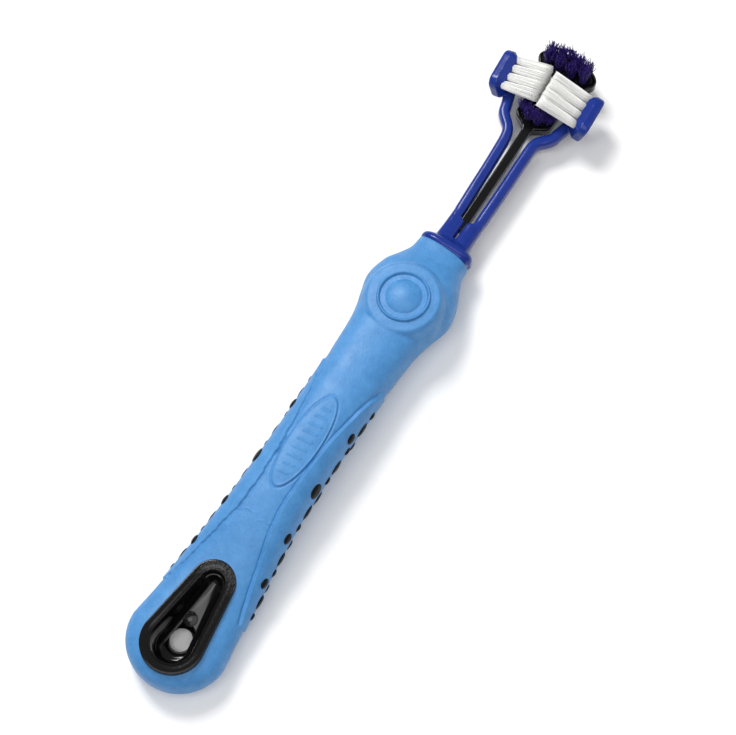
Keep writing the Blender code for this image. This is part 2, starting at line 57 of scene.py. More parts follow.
# Grip, as in the CAD part: half width, underside and top at each station along X, in mm
BUTT_X = -107.6
LOBE_X = -94.0
GRIP_FRONT_X = 36.0
GRIP_STATIONS = [
    (-94.0, 14.1, -0.5, 13.0),
    (-86.0, 13.0, -0.5, 13.0),
    (-77.0, 12.0, 0.0, 13.1),
    (-70.0, 11.2, 0.9, 14.1),
    (-60.0, 10.2, 2.0, 16.3),
    (-48.0, 9.5, 2.7, 17.9),
    (-32.0, 9.2, 3.0, 18.6),
    (-16.0, 9.4, 2.6, 18.2),
    (-5.0, 9.8, 1.9, 17.9),
    (5.0, 10.4, 0.9, 17.9),
    (10.5, 11.5, 0.1, 18.1),
    (17.8, 13.4, -0.4, 18.3),
    (24.2, 12.1, 0.2, 17.4),
    (28.5, 9.9, 1.4, 15.7),
    (32.0, 8.4, 2.3, 14.4),
    (36.0, 8.1, 2.6, 13.9),
]
GRIP_SQUARENESS = 2.5
GRIP_LIP = 0.6  # rounding of the grip's front edge
GRIP_EDGE_SLANT = 0.07  # how much the front edge falls back towards the right side
GRIP_STEP = 0.23  # between sections along the handle
GRIP_SIDES = 420  # points round each section

# Thumb rest: a soft plateau with a raised ring round a shallow dome, in mm
THUMB_X = 15.3
THUMB_TOP = 18.55
PLATEAU_FLAT_R = 9.6
PLATEAU_TILT = (0.02, -0.045)  # rise along x and along y
PLATEAU_CROWN = 0.3  # from its middle to the end of its flat
PLATEAU_ROLL = 0.8  # steepness of its edge
PLATEAU_BLEND = 0.28  # softness of the corner where it meets the grip
THUMB_RING_R = 6.85
THUMB_RING_HALF = 0.55
THUMB_RING_PROUD = 0.9
THUMB_DOME_R = 5.5
THUMB_DOME_PROUD = 1.85
THUMB_FLOOR_DROP = 0.45
THUMB_DISC_R = 8.0  # of the finely divided disc that carries the ring and the dome
THUMB_DISC_LIFT = 0.012  # of that disc above the plateau

# Side pads: the edge of the lower middle strip (x, distance from the middle), in mm
PAD_EDGE = [
    (-8.0, 9.6),
    (-14.0, 8.2),
    (-21.0, 6.9),
    (-29.0, 5.8),
    (-38.0, 5.0),
    (-49.0, 4.7),
    (-57.0, 5.3),
    (-64.0, 6.9),
    (-72.0, 8.8),
    (-78.0, 10.3),
    (-84.0, 12.2),
]
PAD_X = (-82.5, -9.4)
PAD_PROUD = 0.42
PAD_GROOVE = 0.22
PAD_FLASH = 0.12  # ragged bead of flash along the pad's edge
STRIP_DROP = 0.16
SEAM_X = -57.0  # flow line across the strip
SEAM_PROUD = 0.18

# Oval label on the strip, in mm
LABEL_X = -33.4
LABEL_HALF = (14.4, 4.4)
LABEL_PROUD = 0.24
LABEL_RIM = 0.14
LABEL_MOAT = 0.24
LABEL_BARS = 9
LABEL_BAR_PITCH = 2.55
LABEL_BAR_PROUD = 0.2

# Hang dish: an egg outline from two circles (x, radius), in mm
DISH_SMALL = (-77.4, 6.1)
DISH_LARGE = (-96.0, 8.7)
DISH_ARC_POINTS = 56  # on each circle's arc
DISH_TOP = 13.4
DISH_BASE = 2.8
DISH_FLOOR = (9.0, 5.2)  # height at the small end and at the hole
DISH_FLOOR_INSET = 5.6  # of the floor's edge from the dish's outline
HANG_HOLE_X = -93.6
HANG_HOLE_HALF = (3.2, 2.95)  # along and across the handle
HANG_FLARE_R = 4.4
HANG_HOLE_SHIFT = (0.6, 0.35)  # of the narrow part of the hole in its boss
HANG_BOSS_R = 5.6
HANG_BOSS_BASE = 0.3
PIN_MARK = (-87.6, 0.7)  # place of the ejector pin's mark

# Studs, as in the CAD part: x, length, width, in mm
STUD_PROUD = 0.95
STUD_ROOT = 1.5
MID_STUDS = [
    (-15.8, 2.6, 2.0),
    (-20.5, 4.8, 3.0),
    (-27.8, 2.6, 2.0),
    (-33.2, 4.8, 3.0),
    (-37.6, 2.6, 2.0),
    (-47.7, 4.8, 3.0),
    (-52.4, 2.6, 2.0),
    (-62.1, 4.8, 3.0),
    (-65.9, 2.6, 2.0),
    (-74.4, 4.8, 2.8),
    (-78.4, 2.4, 1.8),
]
OUTER_STUDS = [
    (-25.2, 3.4, 2.8),
    (-42.4, 4.8, 3.8),
    (-57.0, 3.4, 2.8),
    (-69.9, 3.2, 2.6),
]
OUTER_STUD_ANGLE = 18.0

# Fork's flared collar: x, half width, underside, top, in mm
COLLAR_STATIONS = [
    (34.0, 7.4, 3.4, 13.0),
    (35.6, 7.6, 3.2, 13.2),
    (36.4, 8.05, 2.8, 13.6),
    (37.2, 8.0, 2.9, 13.5),
    (37.9, 7.6, 3.1, 13.0),
    (38.5, 6.8, 3.5, 12.0),
    (39.2, 5.9, 3.9, 10.8),
    (40.0, 5.35, 4.2, 10.0),
    (40.8, 5.1, 4.4, 9.4),
]
COLLAR_SQUARENESS = 3.2

# One half of the web: x, inner edge, outer edge, underside, top, in mm
WEB_STATIONS = [
    (38.6, 0.2, 5.3, 4.2, 10.0),
    (41.0, 0.22, 5.15, 4.4, 9.7),
    (44.0, 0.25, 5.05, 4.5, 9.3),
    (46.6, 0.28, 5.0, 4.6, 9.1),
    (47.1, 0.32, 5.0, 4.6, 9.05),
    (47.5, 1.6, 5.0, 4.7, 9.0),
    (49.0, 1.85, 5.0, 4.7, 8.9),
]
WEB_SQUARENESS = 3.6

# Arms, with the left one's sizes in mm and the splay of each in degrees; the path is x, y
ARM_ROOT = (48.5, 3.45, 6.8)
ARM_SPLAY = {"left": 1.3, "right": 0.2}
ARM_BEND_X = (46.0, 56.0)  # stretch over which the splay sets in
ARM_HALF = (1.65, 2.1)
ARM_SQUARENESS = 3.0
ARM_SIDES = 40
ARM_PATH = [
    (50.0, 3.45),
    (60.0, 3.5),
    (72.0, 3.55),
    (76.8, 3.75),
    (79.0, 4.6),
    (80.7, 6.2),
    (82.3, 7.5),
    (84.4, 8.1),
    (88.5, 9.2),
    (94.5, 10.9),
]

# Slight sideways bow of the neck and the fork in the moulding (x, shift), in mm
BOW = [
    (25.0, 0.0),
    (31.0, -0.45),
    (35.0, -0.65),
    (48.0, -0.7),
    (64.0, -0.62),
    (74.0, -0.4),
    (81.0, 0.0),
]
STEM_BOW_SHARE = 0.35

# Size of the voxels that melt the fork's shells together, in mm, and the smoothing that follows
ARM_VOXEL = 0.18
PRONG_VOXEL = 0.16
FUSE_STEPS = 5

# Side heads: centre of the left bristle face, length, height and thickness, in mm
HEAD_CENTRE = (91.7, 10.4, 10.9)
HEAD_SIZE = (13.0, 9.0, 4.4)
HEAD_CORNER = 2.8
HEAD_BEVEL = 1.5  # of the bristle face's edge
HEAD_SOFT = 0.9  # of the back's edge
HEAD_LEAN = 15.0  # degrees that the bristle face looks up
HEAD_YAW = {1: 3.0, -1: -3.0}  # by side: degrees that the face looks towards the tip
SIDE_PITCH = 2.95
TOP_ROW = 1.9  # up the face from its middle
LOW_ROW = -1.2
SIDE_TUFT_LENGTH = {
    "left": {"top": 10.4, "low": 10.0},
    "right": {"top": 11.9, "low": 11.5},
}
SIDE_TUFT_R = (1.15, 1.6)  # at the root and at the tip
SIDE_TUFT_SINK = 0.6

# Centre prong: root of the stem, plan and heights, in mm
STEM_ROOT = (45.8, 0.0, 6.7)
STEM_HALF_WIDTH = 1.25
PRONG_Z = (5.1, 8.3)
FLARE = [(80.0, 1.25), (81.0, 1.6), (82.0, 2.9), (83.0, 4.6), (84.2, 5.5), (85.4, 5.65)]
DECK_END_X = 97.6
OVAL_CENTRE_X = 103.2
OVAL_HALF = (4.4, 9.3)
PRONG_BEAD_START_X = 81.5
PRONG_BEAD_R = 0.38
PRONG_BEAD_INSET = 0.45

# Violet tufts, by row: name, x, bend of the row, places across, length, in mm
CENTRE_TUFT_R = (1.0, 1.6)
CENTRE_TUFT_SINK = 0.2
CENTRE_ROWS = [
    ("far", 105.0, -0.02, (-5.8, -2.9, 0.0, 2.9, 5.8), 7.0),
    ("mid", 101.4, 0.02, (-5.7, -1.9, 1.9, 5.7), 7.0),
    ("near", 85.9, 0.0, (-4.0, 4.0), 3.4),
    ("front", 84.1, 0.0, (-1.4, 1.4), 5.6),
]

# Filaments: radius in mm, number in a tuft of each kind, and points round each one
NYLON_R = 0.1
SIDE_FILAMENTS = 110
CENTRE_FILAMENTS = 95
FILAMENT_SIDES = 5

# Floor and light, in metres: name, place, side and watts of each softbox
FLOOR_SIZE = 5.0
WORLD_STRENGTH = 0.36
SOFTBOXES = [
    ("key", (0.207, 0.418, 0.648), 0.3, 5.4),
    ("front", (-0.23, -0.148, 0.76), 0.6, 2.2),
    ("top_glow", (-0.34, 0.17, 0.743), 0.22, 0.55),
    ("fill", (0.35, -0.5, 0.4), 0.4, 0.3),
]

# Camera at the photograph's angle: degrees, then mm
VIEW_AZIMUTH = 32.66
VIEW_ELEVATION = 70.0
VIEW_DISTANCE = 600.0
VIEW_TARGET = (-3.9, -0.9, 8.0)
LENS = 107.85
SENSOR = 36.0

rng = np.random.default_rng(7)


# Materials ------------------------------------------------------------------------------------


def new_material(name, colour, roughness, **sockets):
    """A material, its node tree and its shader, with further sockets set by name."""
    material = bpy.data.materials.new(name)
    material.use_nodes = True
    shader = material.node_tree.nodes["Principled BSDF"]
    shader.inputs["Base Color"].default_value = (*colour, 1.0)
    shader.inputs["Roughness"].default_value = roughness
    for socket, value in sockets.items():
        shader.inputs[socket.replace("_", " ")].default_value = value
    return material, material.node_tree, shader


def noise(tree, scale, detail=3.0, roughness=0.55, stretch=(1.0, 1.0, 1.0)):
    """Noise in the object's own coordinates; scale is in cells per metre."""
    coordinates = tree.nodes.new("ShaderNodeTexCoord")
    mapping = tree.nodes.new("ShaderNodeMapping")
    mapping.inputs["Scale"].default_value = stretch
    texture = tree.nodes.new("ShaderNodeTexNoise")
    texture.inputs["Scale"].default_value = scale
    texture.inputs["Detail"].default_value = detail
    texture.inputs["Roughness"].default_value = roughness
    tree.links.new(coordinates.outputs["Object"], mapping.inputs["Vector"])
    tree.links.new(mapping.outputs["Vector"], texture.inputs["Vector"])
    return texture.outputs["Fac"]


def ramp(tree, value, stops):
    """A colour ramp through (position, colour) stops."""
    node = tree.nodes.new("ShaderNodeValToRGB")
    elements = node.color_ramp.elements
    while len(elements) < len(stops):
        elements.new(0.5)
    for element, (position, colour) in zip(elements, stops):
        element.position = position
        element.color = (*colour, 1.0)
    tree.links.new(value, node.inputs["Fac"])
    return node.outputs["Color"]


def level_range(tree, value, low, high, new_low, new_high):
    """Maps the value from low..high to new_low..new_high, and no further."""
    node = tree.nodes.new("ShaderNodeMapRange")
    node.inputs["From Min"].default_value = low
    node.inputs["From Max"].default_value = high
    node.inputs["To Min"].default_value = new_low
    node.inputs["To Max"].default_value = new_high
    tree.links.new(value, node.inputs["Value"])
    return node.outputs["Result"]


def calculate(tree, operation, first, second):
    node = tree.nodes.new("ShaderNodeMath")
    node.operation = operation
    tree.links.new(first, node.inputs[0])
    tree.links.new(second, node.inputs[1])
    return node.outputs["Value"]


def add_bump(tree, shader, layers):
    """Bump from (height, strength, distance in metres) layers, one on the other."""
    normal = None
    for height, strength, distance in layers:
        bump = tree.nodes.new("ShaderNodeBump")
        bump.inputs["Strength"].default_value = strength
        bump.inputs["Distance"].default_value = distance
        tree.links.new(height, bump.inputs["Height"])
        if normal:
            tree.links.new(normal, bump.inputs["Normal"])
        normal = bump.outputs["Normal"]
    tree.links.new(normal, shader.inputs["Normal"])


def soft_blue_material():
    """Matte thermoplastic rubber with a fine spark-eroded grain."""
    material, tree, shader = new_material(
        "soft_blue_rubber", (0.052, 0.218, 0.49), 0.5, Specular_IOR_Level=0.42
    )
    shade = noise(tree, 260.0, 10.0, 0.85)
    colour = ramp(tree, shade, [(0.34, (0.036, 0.178, 0.42)), (0.66, (0.068, 0.254, 0.55))])
    tree.links.new(colour, shader.inputs["Base Color"])
    wear = level_range(tree, noise(tree, 220.0, 4.0), 0.3, 0.7, 0.42, 0.55)
    tree.links.new(wear, shader.inputs["Roughness"])
    grain = noise(tree, 1500.0, 4.0)
    swell = noise(tree, 420.0, 2.0)
    add_bump(tree, shader, [(swell, 0.3, 0.00012), (grain, 0.8, 0.00011)])
    return material


def fork_blue_material():
    """Glossy dark blue polypropylene with faint flow marks."""
    material, tree, shader = new_material(
        "fork_blue_plastic", (0.008, 0.026, 0.205), 0.18, Specular_IOR_Level=0.3
    )
    shade = noise(tree, 160.0, 3.0)
    colour = ramp(tree, shade, [(0.3, (0.006, 0.022, 0.185)), (0.7, (0.01, 0.03, 0.225))])
    tree.links.new(colour, shader.inputs["Base Color"])
    wear = level_range(tree, noise(tree, 600.0, 4.0), 0.35, 0.75, 0.14, 0.24)
    tree.links.new(wear, shader.inputs["Roughness"])
    flow = noise(tree, 260.0, 2.0, stretch=(0.35, 1.0, 1.0))
    add_bump(tree, shader, [(flow, 0.4, 0.0003)])
    return material


def black_material():
    """Glossy black plastic with fine scuffs, and a grey painted sheen over the scuffs on the rim
    top at the dish's small end.
    """
    material, tree, shader = new_material(
        "black_gloss_plastic", (0.004, 0.004, 0.005), 0.12, Specular_IOR_Level=0.3
    )
    scuff = noise(tree, 1500.0, 6.0, 0.8, stretch=(0.5, 1.6, 1.0))
    coordinates = tree.nodes.new("ShaderNodeTexCoord")
    split = tree.nodes.new("ShaderNodeSeparateXYZ")
    tree.links.new(coordinates.outputs["Object"], split.inputs["Vector"])
    # Painted sheen mixed with real scuffs: a mask along x and up z lifts the rim top at the
    # dish's small end towards grey
    along = level_range(tree, split.outputs["X"], -0.0815, -0.0745, 0.0, 0.2)
    up = level_range(tree, split.outputs["Z"], 0.0128, 0.0132, 0.0, 1.0)
    scuffs_and_sheen = calculate(tree, "ADD", scuff, calculate(tree, "MULTIPLY", along, up))
    tint = ramp(tree, scuffs_and_sheen, [(0.63, (0.003, 0.003, 0.0035)), (0.9, (0.09, 0.09, 0.09))])
    tree.links.new(tint, shader.inputs["Base Color"])
    wear = level_range(tree, scuff, 0.4, 0.75, 0.08, 0.16)
    tree.links.new(wear, shader.inputs["Roughness"])
    add_bump(tree, shader, [(noise(tree, 300.0, 2.0), 0.15, 0.0001), (scuff, 0.08, 0.00002)])
    return material


def stud_material():
    """Black rubber with a soft sheen, for the studs on the sides."""
    material, tree, shader = new_material(
        "black_stud_rubber", (0.0025, 0.0025, 0.003), 0.38, Specular_IOR_Level=0.12
    )
    wear = level_range(tree, noise(tree, 900.0, 4.0), 0.3, 0.7, 0.3, 0.46)
    tree.links.new(wear, shader.inputs["Roughness"])
    add_bump(tree, shader, [(noise(tree, 1200.0, 3.0), 0.3, 0.00005)])
    return material


def nylon_material(name, dark, light):
    """Bristle nylon whose shade changes a little from filament to filament."""
    material, tree, shader = new_material(name, light, 0.35)
    shade = noise(tree, 2600.0, 2.0)
    tree.links.new(ramp(tree, shade, [(0.3, dark), (0.65, light)]), shader.inputs["Base Color"])
    return material


def brass_material():
    material, tree, shader = new_material("anchor_brass", (0.6, 0.4, 0.16), 0.35, Metallic=1.0)
    dull = level_range(tree, noise(tree, 3000.0, 3.0), 0.3, 0.7, 0.25, 0.5)
    tree.links.new(dull, shader.inputs["Roughness"])
    return material


SOFT_BLUE = soft_blue_material()
FORK_BLUE = fork_blue_material()
BLACK = black_material()
STUD_RUBBER = stud_material()
WHITE_NYLON = nylon_material("white_nylon", (0.76, 0.76, 0.74), (0.9, 0.9, 0.88))
VIOLET_NYLON = nylon_material("violet_nylon", (0.014, 0.007, 0.085), (0.055, 0.026, 0.26))
BRASS = brass_material()


# Mesh helpers ---------------------------------------------------------------------------------


def make_object(name, points, faces, material):
    """A smooth-shaded mesh object from points in metres."""
    mesh = bpy.data.meshes.new(name)
    mesh.from_pydata(np.asarray(points).tolist(), [], faces)
    mesh.materials.append(material)
    mesh.shade_smooth()
    obj = bpy.data.objects.new(name, mesh)
    bpy.context.scene.collection.objects.link(obj)
    return obj


def grid_faces(rows, columns, first=0, close_rows=False):
    """Quads between rows of points, where each row is a closed ring."""
    row = np.arange(rows if close_rows else rows - 1)[:, None]
    column = np.arange(columns)[None, :]
    after_row = (row + 1) % rows
    after_column = (column + 1) % columns
    corners = (
        row * columns + column,
        row * columns + after_column,
        after_row * columns + after_column,
        after_row * columns + column,
    )
    corners = [np.broadcast_to(c, (row.shape[0], columns)).ravel() for c in corners]
    return (np.stack(corners, axis=1) + first).tolist()


def loft(name, rings, material, caps=True, close_rows=False):
    """A mesh through rings, an array of rows, points and coordinates, in millimetres."""
    rings = np.asarray(rings, float)
    rows, columns, _ = rings.shape
    faces = grid_faces(rows, columns, close_rows=close_rows)
    if caps:
        faces.append(list(range(columns))[::-1])
        faces.append([(rows - 1) * columns + i for i in range(columns)])
    obj = make_object(name, rings.reshape(-1, 3) * MM, faces, material)
    fix_normals(obj)
    return obj


def fix_normals(obj):
    bm = bmesh.new()
    bm.from_mesh(obj.data)
    bmesh.ops.recalc_face_normals(bm, faces=bm.faces)
    bm.to_mesh(obj.data)
    bm.free()


def apply_modifiers(obj):
    """Replaces the object's mesh by its evaluated one."""
    bpy.context.view_layer.update()
    graph = bpy.context.evaluated_depsgraph_get()
    mesh = bpy.data.meshes.new_from_object(obj.evaluated_get(graph))
    obj.modifiers.clear()
    old = obj.data
    obj.data = mesh
    bpy.data.meshes.remove(old)


def boolean(obj, operation, other):
    """Applies a Boolean with a closed mesh, which is then removed."""
    modifier = obj.modifiers.new(operation.lower(), "BOOLEAN")
    modifier.operation = operation
    modifier.solver = "MANIFOLD"
    modifier.object = other
    apply_modifiers(obj)
    bpy.data.objects.remove(other, do_unlink=True)


def join(name, objects):
    """One object from several, each kept as a closed shell."""
    with bpy.context.temp_override(
        active_object=objects[0], selected_editable_objects=objects
    ):
        bpy.ops.object.join()
    objects[0].name = name
    return objects[0]


def fuse(obj, voxel):
    """Melts overlapping closed shells into one skin with soft inner corners."""
    remesh = obj.modifiers.new("remesh", "REMESH")
    remesh.mode = "VOXEL"
    remesh.voxel_size = voxel * MM
    smooth = obj.modifiers.new("smooth", "SMOOTH")
    smooth.factor = 0.5
    smooth.iterations = FUSE_STEPS
    apply_modifiers(obj)
    obj.data.shade_smooth()


def smoothstep(low, high, value):
    t = np.clip((value - low) / (high - low), 0.0, 1.0)
    return t * t * (3 - 2 * t)


def curve_through(stations, x):
    """Every column of the stations at x, on the same smooth curve as in the CAD part."""
    table = np.array(stations, float)
    xs, values = table[:, 0], table[:, 1:]
    if xs[0] > xs[-1]:
        xs, values = xs[::-1], values[::-1]
    x = np.clip(np.asarray(x, float), xs[0], xs[-1])
    ahead = np.minimum(np.arange(len(xs)) + 1, len(xs) - 1)
    behind = np.maximum(np.arange(len(xs)) - 1, 0)
    slopes = (values[ahead] - values[behind]) / (xs[ahead] - xs[behind])[:, None]
    i = np.clip(np.searchsorted(xs, x, side="left"), 1, len(xs) - 1)
    span = (xs[i] - xs[i - 1])[:, None]
    t = (x - xs[i - 1])[:, None] / span
    return (
        values[i - 1] * (1 + 2 * t) * (1 - t) ** 2
        + values[i] * t * t * (3 - 2 * t)
        + span * slopes[i - 1] * t * (1 - t) ** 2
        - span * slopes[i] * t * t * (1 - t)
    )


def superellipse(angles, squareness):
    across = np.sign(np.cos(angles)) * np.abs(np.cos(angles)) ** (2 / squareness)
    up = np.sign(np.sin(angles)) * np.abs(np.sin(angles)) ** (2 / squareness)
    return across, up


def ring_angles(count):
    return 2 * pi * (np.arange(count) + 0.5) / count


def bend_sideways(obj, share=1.0):
    """Gives the piece its share of the neck's sideways bow."""
    points = np.empty(len(obj.data.vertices) * 3)
    obj.data.vertices.foreach_get("co", points)
    points = points.reshape(-1, 3)
    xs, shifts = np.array(BOW).T
    points[:, 1] += share * MM * np.interp(points[:, 0] / MM, xs, shifts)
    obj.data.vertices.foreach_set("co", points.ravel())
    obj.data.update()


def finish_piece(obj, body, slot, *nodes):
    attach(obj, body)
    if nodes:
        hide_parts(*nodes)


# Grip -----------------------------------------------------------------------------------------


def grip_size(x):
    """Half width, underside and top of the grip at each x, with the rounded butt."""
    size = curve_through(GRIP_STATIONS, x)
    reach = np.clip((LOBE_X - x) / (LOBE_X - BUTT_X), 0.0, 1.0)
    middle = (size[:, 1] + size[:, 2]) / 2
    half_height = (size[:, 2] - size[:, 1]) / 2 * (1 - reach**3.2) ** (1 / 3.2)
    half_width = size[:, 0] * np.sqrt(1 - reach**2)
    return half_width, middle - half_height, middle + half_height


def plateau_height(x, y, r):
    """Top of the thumb rest at distance r from its middle: nearly flat, then rolling off."""
    roll = np.maximum(0.0, r - PLATEAU_FLAT_R)
    tilt = PLATEAU_TILT[0] * (x - THUMB_X) + PLATEAU_TILT[1] * y
    return THUMB_TOP + tilt - PLATEAU_CROWN * (r / PLATEAU_FLAT_R) ** 2 - PLATEAU_ROLL * roll**2


def thumb_relief(r):
    """Height of the ring, the lowered floor inside it and the dome, above the plateau."""
    across = np.clip(np.abs(r - THUMB_RING_R) / THUMB_RING_HALF, 0.0, 1.0)
    ring = THUMB_RING_PROUD * np.sqrt(1 - across**2)
    inside = -THUMB_FLOOR_DROP * smoothstep(THUMB_RING_R + 0.3, THUMB_RING_R - 0.5, r)
    dome = THUMB_DOME_PROUD * np.clip(1 - (r / THUMB_DOME_R) ** 2, 0.0, 1.0) ** 0.75
    return ring + inside + dome


def wave(x, *parts):
    """A sum of sines (amplitude, length, shift), for edges that wander a little."""
    return sum(a * np.sin(2 * pi * x / length + shift) for a, length, shift in parts)


def grip_relief(x, y, up):
    """How far the surface stands out, in mm, from the pads, the label and small flaws."""
    edge = curve_through(PAD_EDGE, x.ravel())[:, 0].reshape(x.shape)
    ragged = wave(x, (0.1, 9.0, 0.3), (0.07, 3.7, 1.9), (0.05, 1.9, 0.7))
    edge = edge + np.where(y > 0, ragged, 0.5 * wave(x, (0.1, 11.0, 2.0), (0.06, 4.3, 0.5)))
    outside = np.abs(y) - edge
    along = smoothstep(PAD_X[0] - 0.35, PAD_X[0] + 0.1, x)
    along = along * smoothstep(PAD_X[1] + 0.5, PAD_X[1] - 0.6, x)
    pad = smoothstep(-0.2, 0.25, outside)
    groove = np.exp(-(((outside + 0.35) / 0.28) ** 2)) * np.where(y > 0, 0.35, 1.0)
    flash = np.exp(-(((outside - 0.15) / 0.2) ** 2)) * np.where(y > 0, 1.0, 0.3)
    flash = flash * (0.6 + 0.4 * np.sin(x * 1.7) * np.sin(x * 0.61 + 1.0))
    relief = along * (PAD_PROUD * pad - PAD_GROOVE * groove + PAD_FLASH * flash)
    strip_along = smoothstep(PAD_X[0] - 8.0, PAD_X[0] + 6.0, x)
    strip_along = strip_along * smoothstep(PAD_X[1] + 9.0, PAD_X[1] - 5.0, x)
    relief = relief - strip_along * STRIP_DROP * (1 - pad)

    on_top = smoothstep(0.2, 0.5, up)
    oval_x, oval_y = (x - LABEL_X) / LABEL_HALF[0], y / LABEL_HALF[1]
    reach = np.sqrt(oval_x**2 + oval_y**2)
    from_edge = (reach - 1) * LABEL_HALF[1] * (1 + 1.2 * oval_x**4)
    field = smoothstep(0.1, -0.25, from_edge)
    rim = np.exp(-(((from_edge + 0.15) / 0.2) ** 2))
    moat = np.exp(-(((from_edge - 0.3) / 0.22) ** 2))
    bars = 0.0
    for i in range(LABEL_BARS):
        place = i - (LABEL_BARS - 1) / 2
        bar_x = LABEL_X + place * LABEL_BAR_PITCH
        height = 2.3 - 0.05 * place**2
        bar = smoothstep(0.42, 0.18, np.abs(x - bar_x + 0.12 * y))
        bars = bars + bar * smoothstep(height, height - 0.3, np.abs(y))
    strip = 1 - pad
    label = LABEL_PROUD * field + LABEL_RIM * rim - LABEL_MOAT * moat
    label = label + LABEL_BAR_PROUD * bars * field
    relief = relief + on_top * label * np.maximum(strip, field)

    seam_x = SEAM_X + wave(y, (0.5, 7.0, 0.0), (0.25, 2.9, 1.0))
    ridge = np.exp(-(((x - seam_x) / 0.2) ** 2))
    step = smoothstep(0.3, -0.3, x - seam_x) * smoothstep(SEAM_X - 9.0, SEAM_X, x)
    return relief + on_top * strip * along * SEAM_PROUD * (ridge + 0.5 * step)


def make_grip():
    butt = LOBE_X - (LOBE_X - BUTT_X) * np.sin(np.radians(np.linspace(89.4, 0, 70)))
    body = np.arange(LOBE_X + 0.25, GRIP_FRONT_X - GRIP_LIP, GRIP_STEP)
    lip = np.radians(np.linspace(0, 90, 8))
    xs = np.concatenate([butt, body, GRIP_FRONT_X - GRIP_LIP + GRIP_LIP * np.sin(lip)])
    inset = np.concatenate([np.zeros(len(butt) + len(body)), GRIP_LIP * (1 - np.cos(lip))])
    half_width, low, high = grip_size(xs)
    half_width, low, high = half_width - inset, low + inset, high - inset
    across, up = superellipse(ring_angles(GRIP_SIDES), GRIP_SQUARENESS)
    x = np.repeat(xs[:, None], len(across), axis=1)
    y = half_width[:, None] * across
    z = (low + high)[:, None] / 2 + (high - low)[:, None] / 2 * up
    x = x - GRIP_EDGE_SLANT * (8.0 - y) * smoothstep(30.0, GRIP_FRONT_X, x)
    points = np.stack([x, y, z], axis=2)
    along = np.gradient(points, axis=0)
    round_it = np.roll(points, -1, axis=1) - np.roll(points, 1, axis=1)
    normal = np.cross(round_it, along)
    normal /= np.maximum(np.linalg.norm(normal, axis=2, keepdims=True), 1e-9)
    middle_row = len(xs) // 2
    if (normal[middle_row, :, 2] * up).sum() < 0:
        normal = -normal
    normal[np.abs(xs - BUTT_X) < 0.2] = (-1.0, 0.0, 0.0)
    points += normal * grip_relief(x, y, normal[:, :, 2])[:, :, None]

    from_thumb = np.hypot(points[:, :, 0] - THUMB_X, points[:, :, 1])
    plateau = plateau_height(points[:, :, 0], points[:, :, 1], from_thumb)
    z = points[:, :, 2]
    difference = (plateau - z) / PLATEAU_BLEND
    raised = z + PLATEAU_BLEND * np.where(difference > 0, difference, 0.0)
    raised = raised + PLATEAU_BLEND * np.log1p(np.exp(-np.abs(difference)))
    near = smoothstep(13.5, 12.0, from_thumb) * (up[None, :] > 0.05)
    points[:, :, 2] = z + near * (raised - z)
    points[:, :, 2] = np.maximum(points[:, :, 2], 0.0)

    grip = loft("grip", points, SOFT_BLUE)
    boolean(grip, "UNION", thumb_disc())
    boolean(grip, "DIFFERENCE", egg_prism(0.05, DISH_BASE, 20.0))
    boolean(grip, "DIFFERENCE", round_prism(HANG_BOSS_R + 0.05, -5.0, DISH_BASE + 1.0))
    bend_sideways(grip)
    grip.data.shade_smooth()
    grip.data.set_sharp_from_angle(angle=radians(50.0))
    finish_piece(grip, "handle", "soft_blue", "grip_sleeve")


def thumb_disc():
    """The ring and dome of the thumb rest, as a thin lens that melts into the plateau."""
    rs = np.concatenate([np.linspace(0.02, 5.6, 40), np.linspace(5.7, THUMB_DISC_R, 42)])
    angles = ring_angles(240)
    rings = []
    for r in rs:
        x, y = THUMB_X + r * np.cos(angles), r * np.sin(angles)
        z = plateau_height(x, y, r) + thumb_relief(r) + THUMB_DISC_LIFT
        rings.append(np.stack([x, y, z], axis=1))
    for r, drop in ((THUMB_DISC_R + 0.1, 0.1), (THUMB_DISC_R, 0.8)):
        x, y = THUMB_X + r * np.cos(angles), r * np.sin(angles)
        rings.append(np.stack([x, y, plateau_height(x, y, THUMB_DISC_R) - drop], axis=1))
    return loft("thumb_disc", rings, SOFT_BLUE)


def egg(inset):
    """The dish's outline: arcs round the two circles, with points along the straight sides."""
    (small_x, small_r), (large_x, large_r) = DISH_SMALL, DISH_LARGE
    tangent = acos((large_r - small_r) / (small_x - large_x))
    outline = []
    for centre, radius, start, end in (
        (small_x, small_r - inset, -tangent, tangent),
        (large_x, large_r - inset, tangent, 2 * pi - tangent),
    ):
        for i in range(DISH_ARC_POINTS):
            angle = start + (end - start) * i / (DISH_ARC_POINTS - 1)
            outline.append(Vector((centre + radius * cos(angle), radius * sin(angle))))
    joined = []
    for i, point in enumerate(outline):
        joined.append(point)
        after = outline[(i + 1) % len(outline)]
        if (after - point).length > 8.0:
            joined += [point.lerp(after, k / 24) for k in range(1, 24)]
    return joined


def egg_prism(grow, low, high):
    outline = egg(-grow)
    rings = [[(p.x, p.y, z) for p in outline] for z in (low, high)]
    return loft("egg_prism", rings, SOFT_BLUE)


def round_prism(radius, low, high):
    rings = [
        [(HANG_HOLE_X + radius * cos(a), radius * sin(a), z) for a in ring_angles(96)]
        for z in (low, high)
    ]
    return loft("round_prism", rings, SOFT_BLUE)


# Hang dish and studs --------------------------------------------------------------------------


def dish_floor(x):
    """Height of the floor, which slopes from the small end down to the hanging hole."""
    high, low = DISH_FLOOR
    rise = min(max((x - HANG_HOLE_X) / (DISH_SMALL[0] - HANG_HOLE_X), 0.0), 1.0)
    return low + (high - low) * rise


def hole_ring(along, across, z, shift=(0.0, 0.0)):
    """Points round the hanging hole, in the direction of each point of the egg outline."""
    ring = []
    for point in egg(0.0):
        angle = atan2(point.y, point.x - HANG_HOLE_X)
        x = HANG_HOLE_X + shift[0] + along * cos(angle)
        ring.append((x, shift[1] + across * sin(angle), z))
    return ring


